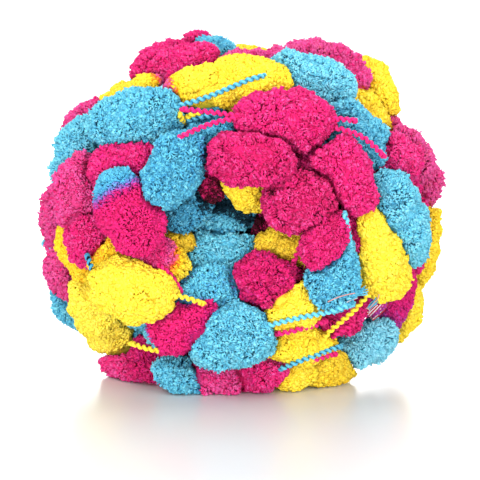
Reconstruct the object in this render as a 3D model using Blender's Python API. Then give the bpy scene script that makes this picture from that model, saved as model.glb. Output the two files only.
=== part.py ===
# Ball of pom pom yarn: plump pompoms along a cord, wound round an open hollow.
# Metres, +Z up. It stands at the origin on its small flat spot, and the hollow faces -Y.

import math
import random
from collections import namedtuple

import bmesh
import bpy
from mathutils import Matrix, Vector

MM = 0.001

# The wound ball, over the tips of its pompoms
BALL_WIDTH = 200 * MM
BALL_DEPTH = 184 * MM
BALL_MIDDLE = 86 * MM              # height of its middle above the flat spot
BALL_ROUNDNESS = 2.4               # 2 is an ellipsoid, and more is squarer in section
POMPOM_THICKNESS = 26 * MM         # across the winding, where the table gives none

# The surface on which the middles of the outer pompoms lie
WIND_X = BALL_WIDTH / 2 - POMPOM_THICKNESS / 2
WIND_Z = 74 * MM
FRONT_WIND_Y = BALL_DEPTH / 2 - 22 * MM    # the pompoms round the hollow stand proud of it
BACK_WIND_Y = BALL_DEPTH / 2 - 3 * MM

# The hollow that the yarn is pulled from
HOLLOW_X = -3 * MM
HOLLOW_Z = 74 * MM
HOLLOW_RADIUS = 29 * MM
HOLLOW_WIDTH_SHARE = 1.1           # it is this much narrower across than it is tall
HOLLOW_DEPTH = 34 * MM

# The place from which the front of the ball was laid out
EYE_DISTANCE = 1.2
EYE_PITCH = math.radians(9)        # looking down
EYE_TARGET = Vector((0, 0, 69 * MM))
SIGHT = Vector((0, math.cos(EYE_PITCH), -math.sin(EYE_PITCH)))
RISE = Vector((0, math.sin(EYE_PITCH), math.cos(EYE_PITCH)))
ACROSS = Vector((1, 0, 0))
EYE = EYE_TARGET - EYE_DISTANCE * SIGHT

# How the pompoms are pressed together
STEEPEST_LEAN = 0.8                # of a long axis towards or away from the eye
LONGEST_STRETCH = 1.2
LEAST_FACING = 0.15
THINNEST = 22 * MM
THICKEST = 29 * MM
POMPOM_FULLNESS = 2.3              # 2 is an ellipsoid, and more has blunter ends

# The share by which some narrow towards the end that their turn points to
TAPERS = {
    "cyan_upper_left": -0.12,
    "cyan_left": -0.2,
    "cyan_front_left": -0.2,
    "pink_crown_right": 0.15,
    "cyan_drop": 0.5,
    "yellow_right_big": -0.35,
    "cyan_right_big": 0.12,
    "cyan_low_right": -0.2,
    "yellow_low_a": 0.15,
}

# The yarn inside the pompoms, which closes the gaps between them
CORE_RADII = (80 * MM, 68 * MM, 69 * MM)
CORE_SETBACK = 5 * MM
HOLLOW_IN_CORE = 38 * MM

# The solid's skin
VOXEL = 2.6 * MM
KEPT_FACES = 0.14                  # share of the faces that is left after thinning

YARN_PINK = (0.83, 0.012, 0.17, 1)

# The pompoms that face the eye, in millimetres and degrees. Across and rise are measured
# from the middle of the view, behind from the surface of the winding, and turn from level.
Seen = namedtuple("Seen", "name across rise behind length width turn")
SEEN_POMPOMS = [
    # top and upper left
    ("pink_top_back", -38.5, 89.5, 12, 32, 17, 28),
    ("pink_top_front", -28, 86, 0, 36, 20, 12),
    ("pink_top_tip", -21, 96.5, 30, 12, 15, 5),
    ("cyan_top_back", -15, 93.5, 22, 28, 14, -15),
    ("yellow_left_back", -59, 70.5, 20, 22, 12, 32),
    ("yellow_top_left", -47, 74.5, 10, 21, 15, 30),
    ("cyan_upper_left", -53, 61, -4, 44, 26, 11),
    ("cyan_left", -81, 42, 2, 38, 23, 66),
    ("pink_left_back", -76.5, 58.5, 16, 26, 17, 42),
    ("pink_mid_left", -58, 37, 2, 35, 20, 4),
    ("pink_left_upper", -80.5, 23, 0, 38, 23, 80),
    ("pink_left_lower", -76, 1, 0, 28, 20, 112),
    ("cyan_pink_left", -55.2, 14, -10, 42, 29, 118),
    ("cyan_front_left", -33.5, 34.5, -12, 39, 26, 59),
    ("cyan_arm", -14, 50.5, 0, 28, 14, 12),
    ("yellow_top_a", -22, 76, -2, 38, 17, 16),
    ("yellow_top_b", 5, 79, -2, 40, 25, -4),
    ("yellow_top_low", -13, 69, 2, 26, 9, 8),
    ("cyan_top_low", -17.5, 62, 9, 22, 11, 4),
    # top and upper right
    ("pink_strip_a", 6, 88, 12, 36, 13, 1),
    ("pink_strip_b", 36, 91, 14, 42, 15, 5),
    ("pink_strip_c", 51, 83.5, 12, 33, 22, -48),
    ("cyan_top_right", 34.5, 78.5, 0, 44.5, 26, -18),
    ("yellow_right_back", 66, 75, 22, 36, 22, -62),
    ("pink_right_tip", 73.5, 57.5, 14, 20, 12, -60),
    ("cyan_slope_a", 59.5, 56, 2, 36, 13, -38),
    ("cyan_slope_b", 59, 48, 0, 30, 12, -45),
    ("pink_right_front", 78, 41, -2, 24, 22, -30),
    ("pink_right_outer", 86.5, 36.5, 8, 42, 23, -60),
    ("pink_crown", 22.5, 59.5, -12, 46.5, 29, -3),
    ("pink_crown_right", 53, 31.5, -12, 38.5, 25, -62),
    # round and inside the hollow
    ("pink_hollow_top", 5, 41, -14, 43, 25, -6),
    ("pink_hollow_right", 30.5, 20, -6, 36, 29, 15),
    ("pink_deep_right", 34, 35, 8, 20, 16, 40),
    ("yellow_hollow_top", 3, 26.5, 0, 28, 14, -31),
    ("pink_deep_top", -13.5, 30.5, 6, 19, 13, 60),
    ("cyan_hollow_left", -26.5, 16.5, 6, 26, 19, 45),
    ("cyan_hollow_a", -6, 11, 3, 30, 22, 12),
    ("cyan_hollow_b", -8.5, -5.5, -3, 43, 24, 4),
    ("cyan_hollow_c", -13, -25, -4, 36, 25, 8),
    ("cyan_deep", 5, 9, 12, 15, 11, 0),
    ("pink_deep_low", 11, 7, 8, 14, 14, 70),
    ("yellow_hollow_right", 21.5, -3, 2, 24, 17, 0),
    ("yellow_hollow_left", -31, 0, 10, 13, 11, 20),
    ("pink_yellow_hollow", -40, -10, 2, 28, 19, -28),
    ("pink_hollow_low", 14, -21.5, -9, 30.5, 28, -20),
    ("pink_right_hollow", 42.5, 2.5, -8, 32, 19.5, 70),
    # left and lower left
    ("yellow_left_big", -53.5, -25, -12, 38.5, 30.5, -12),
    ("yellow_left_low", -66.5, -39.5, -2, 47, 28, -57),
    ("yellow_left_strip", -82, -5, 4, 30, 14, -60),
    ("yellow_left_small", -66, -7, 4, 20, 14, 0),
    ("pink_edge_back", -90.5, 9, 16, 35, 17, 90),
    ("pink_edge_low", -86, -19, 5, 30, 19, -68),
    ("cyan_edge_low", -84, -31, 16, 26, 17, -60),
    ("pink_bottom_left", -52, -65, -10, 36, 16, -13),
    ("cyan_gap_a", -49, -48.5, 4, 20, 14, -40),
    ("cyan_gap_b", -45, -58, -4, 26, 12, -8),
    ("cyan_bottom_left", -26.5, -69.5, -40, 31, 15, -22),
    ("pink_low_left", -27.5, -43, -8, 38, 24.5, 14),
    ("cyan_low_middle", -4.5, -48, -12, 42, 30.5, 8),
    ("pink_bottom_a", -12, -69, -38, 34, 20, -6),
    ("pink_bottom_b", 7, -67.5, -38, 34, 21, 22),
    # right and lower right
    ("cyan_drop", 48, -17, -8, 35, 21, 66),
    ("yellow_right_big", 69, -6, -4, 44.5, 23.5, -74),
    ("pink_right_gap", 58, 4, 4, 26, 12, -80),
    ("cyan_right_big", 79.3, 10, -4, 46, 27, -64),
    ("yellow_edge_a", 90, -5, 20, 44, 18, 80),
    ("yellow_edge_b", 81.5, -35, 18, 31, 16, 72),
    ("pink_edge_strip", 75.5, -32.5, 4, 42, 17, 68),
    ("pink_edge_up", 83.5, -13.5, 8, 16, 10, 60),
    ("yellow_low_a", 28, -32, -4, 33, 25, 28),
    ("yellow_low_b", 30, -51.5, -6, 34, 20, 6),
    ("pink_low_gap", 50, -39, 2, 28, 13, 28),
    ("yellow_low_gap", 50, -49, 2, 22, 11, 20),
    ("cyan_low_right", 61.5, -52.5, -12, 34, 20, 30),
    ("yellow_bottom_a", 25, -66.5, -34, 30, 18, 8),
    ("yellow_bottom_b", 42, -64, -24, 30, 18, 2),
]

# The rest of the winding: a spiral of places from the back to the flanks, each of which
# takes a pompom unless one lies there already.
SPIRAL_PLACES = 700
SPIRAL_FRONT = -40 * MM            # it goes no further forward than this
SPIRAL_INSET = 7 * MM
FLANK_SINK = 12 * MM               # deeper still where the front pompoms overlap it
SPIRAL_SPACING = 1.5              # least distance, in half sizes of the pompom beside it
SPIRAL_LENGTH = 38 * MM
SPIRAL_WIDTH = 28 * MM
SPIRAL_LEANS = (30, -24, 8, -38, 20)
SPIRAL_LEAN_SPREAD = 12            # degrees, either way
SPIRAL_SIZE_SPREAD = 0.09
SPIRAL_SEED = 11
NAVEL_RADIUS = 20 * MM             # a shallow dimple at the back
NAVEL_DEPTH = 8 * MM

# The pompoms that the ball stands on, by their place over the floor
Under = namedtuple("Under", "name x y height length width turn")
UNDER_POMPOMS = [
    ("under_a", -40, -14, 12, 38, 27, 62),
    ("under_b", -6, -18, 11, 38, 28, 12),
    ("under_c", 31, -13, 11, 38, 27, -38),
    ("under_d", -35, 16, 12, 36, 26, -40),
    ("under_e", 1, 11, 11, 40, 27, -10),
    ("under_f", 37, 15, 12, 36, 27, 48),
]

Pompom = namedtuple("Pompom", "middle along side out half_sizes taper")


def clear_scene():
    for thing in list(bpy.context.scene.objects):
        bpy.data.objects.remove(thing, do_unlink=True)


def hollow_depth(x, z):
    """How far the winding is pushed in behind its front at x and z."""
    reach = math.hypot((x - HOLLOW_X) * HOLLOW_WIDTH_SHARE, z - HOLLOW_Z) / HOLLOW_RADIUS
    return HOLLOW_DEPTH * math.exp(-reach ** 3)


def winding_depth(x, z):
    """Y of the winding's front, on which the pompoms' middles lie."""
    share = min(math.hypot(x / WIND_X, (z - BALL_MIDDLE) / WIND_Z), 1)
    front = -FRONT_WIND_Y * (1 - share ** BALL_ROUNDNESS) ** (1 / BALL_ROUNDNESS)
    return front + hollow_depth(x, z)


def winding_size(x, y, z):
    """1 on the winding's surface, less inside it and more outside."""
    share = math.hypot(x / WIND_X, (z - BALL_MIDDLE) / WIND_Z)
    depth = abs(y - hollow_depth(x, z)) / FRONT_WIND_Y if y < 0 else y / BACK_WIND_Y
    return share ** BALL_ROUNDNESS + depth ** BALL_ROUNDNESS


def winding_normal(place, step=1.5 * MM):
    """The way out of the winding at a place on it or near it."""
    x, y, z = place
    return Vector((
        winding_size(x + step, y, z) - winding_size(x - step, y, z),
        winding_size(x, y + step, z) - winding_size(x, y - step, z),
        winding_size(x, y, z + step) - winding_size(x, y, z - step))).normalized()


def sight_point(across, rise, y):
    """Where the line of sight through a point of the view meets the upright plane at y."""
    ray = SIGHT + ACROSS * (across / EYE_DISTANCE) + RISE * (rise / EYE_DISTANCE)
    return EYE + ray * ((y - EYE.y) / ray.y)


def seen_pompom(row):
    across, rise, behind = row.across * MM, row.rise * MM, row.behind * MM
    y = -FRONT_WIND_Y / 2
    for _ in range(30):
        middle = sight_point(across, rise, y)
        y = 0.6 * y + 0.4 * (winding_depth(middle.x, middle.z) + behind)
    middle = sight_point(across, rise, y)

    out = winding_normal(middle)
    turn = math.radians(row.turn)
    along = ACROSS * math.cos(turn) + RISE * math.sin(turn)
    facing = max(-SIGHT.dot(out), LEAST_FACING)
    lean = max(-STEEPEST_LEAN, min(STEEPEST_LEAN, along.dot(out) / facing))
    along = along + lean * SIGHT
    length = row.length * MM * min(along.length, LONGEST_STRETCH)
    # its width is the one that shows, which at the ball's edge is its thickness
    width = row.width * MM
    depth = min(max(width, THINNEST), THICKEST)
    return pompom(middle, along, out, length, width * facing + depth * (1 - facing),
                  depth * facing + width * (1 - facing), TAPERS.get(row.name, 0))


def pompom(middle, along, out, length, width, thickness, taper=0):
    along = along.normalized()
    out = (out - out.dot(along) * along).normalized()
    half_sizes = (length / 2, width / 2, thickness / 2)
    return Pompom(middle, along, out.cross(along), out, half_sizes, taper)


def spiral_places():
    """Even places on the winding, round and round from the back, each with its way out."""
    golden_turn = math.pi * (3 - math.sqrt(5))
    for index in range(SPIRAL_PLACES):
        back = 1 - 2 * (index + 0.5) / SPIRAL_PLACES
        round_ball = math.sqrt(1 - back * back)
        turn = index * golden_turn
        heading = Vector((round_ball * math.cos(turn), back, round_ball * math.sin(turn)))
        share = math.hypot(heading.x / WIND_X, heading.z / WIND_Z)
        depth = heading.y / BACK_WIND_Y if heading.y > 0 else -heading.y / FRONT_WIND_Y
        size = share ** BALL_ROUNDNESS + depth ** BALL_ROUNDNESS
        place = heading * size ** (-1 / BALL_ROUNDNESS)
        if place.y < SPIRAL_FRONT:
            return
        sink = SPIRAL_INSET + FLANK_SINK * max(0, place.y / SPIRAL_FRONT)
        if place.y > 0:
            sink += NAVEL_DEPTH * math.exp(-(place.x ** 2 + place.z ** 2) / NAVEL_RADIUS ** 2)
        place.z += BALL_MIDDLE
        out = winding_normal(place)
        yield place - out * sink, out


def distance_in_sizes(place, shape):
    """How far a place is from a pompom's middle, 1 being on its skin."""
    offset = place - shape.middle
    return math.hypot(*(offset.dot(axis) / half for axis, half in
                        zip((shape.along, shape.side, shape.out), shape.half_sizes)))


def spiral_pompoms(placed):
    """Pompoms for the part of the winding that the placed ones leave bare."""
    draw = random.Random(SPIRAL_SEED)
    placed = list(placed)
    added = []
    for place, out in spiral_places():
        if any(distance_in_sizes(place, other) < SPIRAL_SPACING for other in placed):
            continue
        round_ball = Vector((-place.z + BALL_MIDDLE, 0, place.x))
        if round_ball.length < MM:
            round_ball = ACROSS.copy()
        lean = SPIRAL_LEANS[len(added) % len(SPIRAL_LEANS)]
        lean += draw.uniform(-SPIRAL_LEAN_SPREAD, SPIRAL_LEAN_SPREAD)
        along = Matrix.Rotation(math.radians(lean), 3, out) @ round_ball
        size = 1 + draw.uniform(-SPIRAL_SIZE_SPREAD, SPIRAL_SIZE_SPREAD)
        new = pompom(place, along, out, SPIRAL_LENGTH * size, SPIRAL_WIDTH * size, POMPOM_THICKNESS)
        placed.append(new)
        added.append(new)
    return added


def under_pompom(row):
    turn = math.radians(row.turn)
    along = Vector((math.cos(turn), math.sin(turn), 0))
    middle = Vector((row.x, row.y, row.height)) * MM
    return pompom(middle, along, Vector((0, 0, -1)), row.length * MM, row.width * MM, POMPOM_THICKNESS)


def all_pompoms():
    placed = [seen_pompom(Seen(*row)) for row in SEEN_POMPOMS]
    placed.extend(under_pompom(Under(*row)) for row in UNDER_POMPOMS)
    return placed + spiral_pompoms(placed)


def skin_place(heading, shape):
    """The place on a pompom's skin that lies this way from its middle."""
    along, round_it = abs(heading.x), math.hypot(heading.y, heading.z)
    reach = (along ** POMPOM_FULLNESS + round_it ** POMPOM_FULLNESS) ** (-1 / POMPOM_FULLNESS)
    narrowing = 1 - shape.taper * heading.x * reach
    length, width, thickness = shape.half_sizes
    return (shape.middle + shape.along * heading.x * reach * length
            + shape.side * heading.y * reach * width * narrowing
            + shape.out * heading.z * reach * thickness * narrowing)


def add_pompom(bm, shape):
    made = bmesh.ops.create_icosphere(bm, subdivisions=3, radius=1)
    for vertex in made["verts"]:
        vertex.co = skin_place(vertex.co, shape)


def add_core(bm):
    """The yarn inside: a squat ball, pushed in behind the hollow."""
    middle = Vector((0, CORE_SETBACK, BALL_MIDDLE))
    made = bmesh.ops.create_icosphere(
        bm, subdivisions=5, radius=1,
        matrix=Matrix.Translation(middle) @ Matrix.Diagonal((*CORE_RADII, 1)))
    for vertex in made["verts"]:
        if vertex.co.y < 0:
            reach = math.hypot((vertex.co.x - HOLLOW_X) * HOLLOW_WIDTH_SHARE, vertex.co.z - HOLLOW_Z)
            vertex.co.y += HOLLOW_IN_CORE * math.exp(-(reach / HOLLOW_RADIUS) ** 3)


def wind_ball():
    """One mesh of the core and every pompom, joined into a single skin and thinned."""
    bm = bmesh.new()
    add_core(bm)
    for shape in all_pompoms():
        add_pompom(bm, shape)
    loose_mesh = bpy.data.meshes.new("loose_winding")
    bm.to_mesh(loose_mesh)
    bm.free()

    loose = bpy.data.objects.new("loose_winding", loose_mesh)
    bpy.context.scene.collection.objects.link(loose)
    skin = loose.modifiers.new("skin", "REMESH")
    skin.mode = "VOXEL"
    skin.voxel_size = VOXEL
    thin = loose.modifiers.new("thin", "DECIMATE")
    thin.ratio = KEPT_FACES
    evaluated = loose.evaluated_get(bpy.context.evaluated_depsgraph_get())
    mesh = bpy.data.meshes.new_from_object(evaluated)
    mesh.name = "yarn_ball"
    bpy.data.objects.remove(loose, do_unlink=True)
    return mesh


def face_islands(bm):
    """The bmesh's faces, in groups that share edges."""
    waiting = set(bm.faces)
    while waiting:
        island, edge_of_island = set(), [waiting.pop()]
        while edge_of_island:
            face = edge_of_island.pop()
            island.add(face)
            for edge in face.edges:
                for other in edge.link_faces:
                    if other in waiting:
                        waiting.remove(other)
                        edge_of_island.append(other)
        yield island


def finish_skin(mesh):
    """Give the skin the flat spot that it stands on, and keep its outer shell only."""
    bm = bmesh.new()
    bm.from_mesh(mesh)
    everything = bm.verts[:] + bm.edges[:] + bm.faces[:]
    bmesh.ops.bisect_plane(
        bm, geom=everything, plane_co=(0, 0, 0), plane_no=(0, 0, 1), clear_inner=True)
    rim = [edge for edge in bm.edges if edge.is_boundary]
    bmesh.ops.holes_fill(bm, edges=rim, sides=0)
    islands = sorted(face_islands(bm), key=len)
    inner = [face for island in islands[:-1] for face in island]
    bmesh.ops.delete(bm, geom=inner, context="FACES")
    bmesh.ops.triangulate(bm, faces=bm.faces[:])
    bmesh.ops.recalc_face_normals(bm, faces=bm.faces[:])
    bm.to_mesh(mesh)
    bm.free()
    mesh.shade_smooth()


def yarn_material():
    material = bpy.data.materials.new("pile_yarn")
    material.use_nodes = True
    shader = material.node_tree.nodes["Principled BSDF"]
    shader.inputs["Base Color"].default_value = YARN_PINK
    shader.inputs["Roughness"].default_value = 0.9
    shader.inputs["Metallic"].default_value = 0
    return material


def main():
    clear_scene()
    mesh = wind_ball()
    finish_skin(mesh)
    mesh.materials.clear()
    mesh.materials.append(yarn_material())
    ball = bpy.data.objects.new("yarn_ball", mesh)
    bpy.context.scene.collection.objects.link(ball)


main()
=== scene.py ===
# Ball of pom pom yarn: plump piled pompoms in three colours, wound round an open hollow,
# with bare lengths of twisted cord between them and one splice. Metres, +Z up.

import math
import random
from collections import namedtuple

import bmesh
import bpy
import numpy as np
from mathutils import Matrix, Vector


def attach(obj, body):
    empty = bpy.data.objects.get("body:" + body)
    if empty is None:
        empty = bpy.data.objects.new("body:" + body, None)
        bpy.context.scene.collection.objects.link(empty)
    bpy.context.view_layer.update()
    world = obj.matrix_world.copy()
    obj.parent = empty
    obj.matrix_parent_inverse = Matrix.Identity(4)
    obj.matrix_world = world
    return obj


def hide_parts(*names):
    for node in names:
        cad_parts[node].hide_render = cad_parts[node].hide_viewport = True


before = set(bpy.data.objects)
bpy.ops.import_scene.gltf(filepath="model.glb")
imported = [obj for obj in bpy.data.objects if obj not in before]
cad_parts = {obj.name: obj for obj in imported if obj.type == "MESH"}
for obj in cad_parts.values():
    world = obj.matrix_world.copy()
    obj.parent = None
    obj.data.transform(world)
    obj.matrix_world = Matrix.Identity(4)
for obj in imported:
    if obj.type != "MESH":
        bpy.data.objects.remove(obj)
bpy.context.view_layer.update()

mm = 0.001
solidName = "yarn_ball"
dyeAndShadeMap = "OFBake"  # u is the place along the dyed yarn, v the way up a tuft as painted shade: dark at its root, light at its tip, lower in creases, pits and the hollow
goldenTurn = math.pi * (3 - math.sqrt(5))
bpy.context.scene.view_settings.view_transform = "Standard"

# Camera: at the photo's angle, looking a little down into the hollow
viewPoint = {"distance": 1.2, "pitch": 9, "target": (0, 0, 69 * mm), "lens": 180,
             "sensor": 36, "clip": (0.05, 60)}

eyePitch = math.radians(viewPoint["pitch"])
sight = Vector((0, math.cos(eyePitch), -math.sin(eyePitch)))
rise = Vector((0, math.sin(eyePitch), math.cos(eyePitch)))
across = Vector((1, 0, 0))
eye = Vector(viewPoint["target"]) - viewPoint["distance"] * sight


def putObject(name, data):
    thing = bpy.data.objects.new(name, data)
    bpy.context.scene.collection.objects.link(thing)
    return thing


def aim(thing, place, way):
    thing.location = place
    thing.rotation_mode = "QUATERNION"
    thing.rotation_quaternion = way.to_track_quat("-Z", "Y")


def placeCamera():
    camera = bpy.data.cameras.new("camera")
    camera.lens = viewPoint["lens"]
    camera.sensor_width = viewPoint["sensor"]
    camera.clip_start, camera.clip_end = viewPoint["clip"]
    holder = putObject("camera", camera)
    aim(holder, eye, sight)
    bpy.context.scene.camera = holder


placeCamera()
print("camera placed")

# The winding: the surface on which the pompoms' middles lie. Its middle is over the flat spot.
winding = {"x": 87 * mm, "z": 74 * mm, "frontY": 70 * mm, "backY": 89 * mm, "middle": 86 * mm,
           "roundness": 2.4}
hollow = {"x": -3 * mm, "z": 74 * mm, "radius": 29 * mm, "widthShare": 1.1, "depth": 34 * mm}
# Fullness is 2 for an ellipsoid, and more for blunter ends
pressed = {"thickness": 26 * mm, "thinnest": 22 * mm, "thickest": 29 * mm, "steepestLean": 0.8,
           "longestStretch": 1.2, "leastFacing": 0.15, "fullness": 2.3}

# Across and rise are measured from the middle of the view and behind from the winding, in
# millimetres. Turn is from level, in degrees. The name's first word is the yarn's colour. Taper is
# the share by which it narrows towards the end that its turn points to. Tint moves it along the dye:
# partly the pompom's own dye, partly painted light, paler on the outer pompoms at the rim as a
# painted rim light and on some low and right-hand ones as painted fill light. Shade is painted shade
# for pompoms that lie deep between others, and where it is negative, painted light for pompoms that
# lie in shadow.
Seen = namedtuple("Seen", "name across rise behind length width turn taper tint shade",
                  defaults=(0, 0, 0))
seenPompoms = [
    # top and upper left
    ("pink_top_back", -38.5, 89.5, 12, 32, 17, 28),
    ("pink_top_front", -28, 86, 0, 36, 20, 12),
    ("pink_top_tip", -21, 96.5, 30, 12, 15, 5),
    ("cyan_top_back", -15, 93.5, 22, 28, 14, -15),
    ("yellow_left_back", -59, 70.5, 20, 22, 12, 32),
    ("yellow_top_left", -47, 74.5, 10, 21, 15, 30),
    ("cyan_upper_left", -53, 61, -4, 44, 26, 11, -0.12),
    ("cyan_left", -81, 42, 2, 38, 23, 66, -0.2, 0, -0.1),
    ("pink_left_back", -76.5, 58.5, 16, 26, 17, 42, 0, 0.06),
    ("pink_mid_left", -58, 37, 2, 35, 20, 4),
    ("pink_left_upper", -80.5, 23, 0, 38, 23, 80, 0, 0.06),
    ("pink_left_lower", -76, 1, 0, 28, 20, 112),
    ("cyan_pink_left", -55.2, 14, -10, 42, 29, 118),
    ("cyan_front_left", -33.5, 34.5, -12, 39, 26, 59, -0.2, 0.01, 0.2),
    ("cyan_arm", -14, 50.5, 0, 28, 14, 12, 0, 0, 0.25),
    ("yellow_top_a", -22, 76, -2, 38, 17, 16),
    ("yellow_top_b", 5, 79, -2, 40, 25, -4),
    ("yellow_top_low", -13, 69, 2, 26, 9, 8, 0, 0, 0.35),
    ("cyan_top_low", -17.5, 62, 9, 22, 11, 4, 0, 0, 0.4),
    # top and upper right
    ("pink_strip_a", 6, 88, 12, 36, 13, 1, 0, 0.06),
    ("pink_strip_b", 36, 91, 14, 42, 15, 5, 0, 0.07),
    ("pink_strip_c", 51, 83.5, 12, 33, 22, -48, 0, 0.07),
    ("cyan_top_right", 34.5, 78.5, 0, 44.5, 26, -18, 0, -0.03, -0.1),
    ("yellow_right_back", 66, 75, 22, 36, 22, -62),
    ("pink_right_tip", 73.5, 57.5, 14, 20, 12, -60, 0, 0.05),
    ("cyan_slope_a", 59.5, 56, 2, 36, 13, -38, 0, 0, 0.16),
    ("cyan_slope_b", 59, 48, 0, 30, 12, -45, 0, 0, 0.3),
    ("pink_right_front", 78, 41, -2, 24, 22, -30, 0, 0.03),
    ("pink_right_outer", 86.5, 36.5, 8, 42, 23, -60, 0, 0.07),
    ("pink_crown", 22.5, 59.5, -12, 46.5, 29, -3),
    ("pink_crown_right", 53, 31.5, -12, 38.5, 25, -62, 0.15),
    # round and inside the hollow
    ("pink_hollow_top", 5, 41, -14, 43, 25, -6, 0, 0, 0.24),
    ("pink_hollow_right", 30.5, 20, -6, 36, 29, 15, 0, 0, 0.25),
    ("pink_deep_right", 34, 35, 8, 20, 16, 40, 0, 0, -0.1),
    ("yellow_hollow_top", 3, 26.5, 0, 28, 14, -31, 0, 0, 0.1),
    ("pink_deep_top", -13.5, 30.5, 6, 19, 13, 60, 0, 0, 0.72),
    ("cyan_hollow_left", -26.5, 16.5, 6, 26, 19, 45, 0, 0, 0.48),
    ("cyan_hollow_a", -6, 11, 3, 30, 22, 12),
    ("cyan_hollow_b", -8.5, -5.5, -3, 43, 24, 4, 0, 0, -0.4),
    ("cyan_hollow_c", -13, -25, -4, 36, 25, 8, 0, 0.03, -0.3),
    ("cyan_deep", 5, 9, 12, 15, 11, 0, 0, 0, 0.6),
    ("pink_deep_low", 11, 7, 8, 14, 14, 70, 0, 0, 0.42),
    ("yellow_hollow_right", 21.5, -3, 2, 24, 17, 0, 0, 0, 0.55),
    ("yellow_hollow_left", -31, 0, 10, 13, 11, 20, 0, 0, 0.65),
    ("pink_yellow_hollow", -40, -10, 2, 28, 19, -28),
    ("pink_hollow_low", 14, -21.5, -9, 30.5, 28, -20, 0, -0.02, 0.22),
    ("pink_right_hollow", 42.5, 2.5, -8, 32, 19.5, 70, 0, 0, 0.14),
    # left and lower left
    ("yellow_left_big", -53.5, -25, -12, 38.5, 30.5, -12),
    ("yellow_left_low", -66.5, -39.5, -2, 47, 28, -57, 0, 0.06, -0.15),
    ("yellow_left_strip", -82, -5, 4, 30, 14, -60, 0, -0.04),
    ("yellow_left_small", -66, -7, 4, 20, 14, 0, 0, -0.05),
    ("pink_edge_back", -90.5, 9, 16, 35, 17, 90, 0, 0.08),
    ("pink_edge_low", -86, -19, 5, 30, 19, -68, 0, 0.07),
    ("cyan_edge_low", -84, -31, 16, 26, 17, -60),
    ("pink_bottom_left", -52, -65, -10, 36, 16, -13, 0, 0.05, -0.1),
    ("cyan_gap_a", -49, -48.5, 4, 20, 14, -40),
    ("cyan_gap_b", -45, -58, -4, 26, 12, -8),
    ("cyan_bottom_left", -26.5, -69.5, -40, 31, 15, -22),
    ("pink_low_left", -27.5, -43, -8, 38, 24.5, 14, 0, 0, -0.1),
    ("cyan_low_middle", -4.5, -48, -12, 42, 30.5, 8, 0, -0.02),
    ("pink_bottom_a", -12, -69, -38, 34, 20, -6, 0, 0.06, -0.12),
    ("pink_bottom_b", 7, -67.5, -38, 34, 21, 22, 0, 0, -0.15),
    # right and lower right
    ("cyan_drop", 48, -17, -8, 35, 21, 66, 0.5, 0.01, 0.08),
    ("yellow_right_big", 69, -6, -4, 44.5, 23.5, -74, -0.35),
    ("pink_right_gap", 58, 4, 4, 26, 12, -80),
    ("cyan_right_big", 79.3, 10, -4, 46, 27, -64, 0.12, -0.03),
    ("yellow_edge_a", 90, -5, 20, 44, 18, 80),
    ("yellow_edge_b", 81.5, -35, 18, 31, 16, 72),
    ("pink_edge_strip", 75.5, -32.5, 4, 42, 17, 68),
    ("pink_edge_up", 83.5, -13.5, 8, 16, 10, 60),
    ("yellow_low_a", 28, -32, -4, 33, 25, 28, 0.15),
    ("yellow_low_b", 30, -51.5, -6, 34, 20, 6),
    ("pink_low_gap", 50, -39, 2, 28, 13, 28, 0, 0, 0.1),
    ("yellow_low_gap", 50, -49, 2, 22, 11, 20),
    ("cyan_low_right", 61.5, -52.5, -12, 34, 20, 30, -0.2, -0.08, -0.15),
    ("yellow_bottom_a", 25, -66.5, -34, 30, 18, 8),
    ("yellow_bottom_b", 42, -64, -24, 30, 18, 2, 0, 0, 0.3),
]

# The pompoms that the ball stands on, by their place over the floor. Shade is painted shade, as for
# the others.
Under = namedtuple("Under", "name x y height length width turn shade", defaults=(0,))
underPompoms = [
    ("pink_under_a", -40, -14, 12, 38, 27, 62, 0.25),
    ("pink_under_b", -6, -18, 11, 38, 28, 12),
    ("yellow_under_c", 31, -13, 11, 38, 27, -38),
    ("pink_under_d", -35, 16, 12, 36, 26, -40),
    ("cyan_under_e", 1, 11, 11, 40, 27, -10),
    ("pink_under_f", 37, 15, 12, 36, 27, 48),
]

# The rest lie on a spiral from the back to the flanks, wherever there is room. Its spacing is in
# half sizes of the pompom beside each.
spiral = {"places": 700, "front": -40 * mm, "inset": 7 * mm, "flankSink": 12 * mm, "spacing": 1.5,
          "length": 38 * mm, "width": 28 * mm, "leans": (30, -24, 8, -38, 20), "leanSpread": 12,
          "sizeSpread": 0.09, "seed": 11, "navelRadius": 20 * mm, "navelDepth": 8 * mm}

Pompom = namedtuple("Pompom", "name middle along side out halfSizes taper tint shade",
                    defaults=(0, 0, 0))


def hollowDepth(x, z):
    reach = math.hypot((x - hollow["x"]) * hollow["widthShare"], z - hollow["z"]) / hollow["radius"]
    return hollow["depth"] * math.exp(-reach ** 3)


def windingDepth(x, z):
    power = winding["roundness"]
    share = min(math.hypot(x / winding["x"], (z - winding["middle"]) / winding["z"]), 1)
    return hollowDepth(x, z) - winding["frontY"] * (1 - share ** power) ** (1 / power)


def windingSize(x, y, z):  # 1 on the winding's surface, more outside it
    share = math.hypot(x / winding["x"], (z - winding["middle"]) / winding["z"])
    depth = abs(y - hollowDepth(x, z)) / winding["frontY"] if y < 0 else y / winding["backY"]
    return share ** winding["roundness"] + depth ** winding["roundness"]


def windingNormal(place, step=1.5 * mm):
    x, y, z = place
    return Vector((
        windingSize(x + step, y, z) - windingSize(x - step, y, z),
        windingSize(x, y + step, z) - windingSize(x, y - step, z),
        windingSize(x, y, z + step) - windingSize(x, y, z - step))).normalized()


def sightPoint(acrossView, riseView, y):  # where a line of sight meets the upright plane at y
    ray = sight + (across * acrossView + rise * riseView) / viewPoint["distance"]
    return eye + ray * ((y - eye.y) / ray.y)


def layPompom(name, middle, along, out, length, width, thickness, *looks):
    along = along.normalized()
    out = (out - out.dot(along) * along).normalized()
    return Pompom(name, middle, along, out.cross(along), out,
                  (length / 2, width / 2, thickness / 2), *looks)


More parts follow.
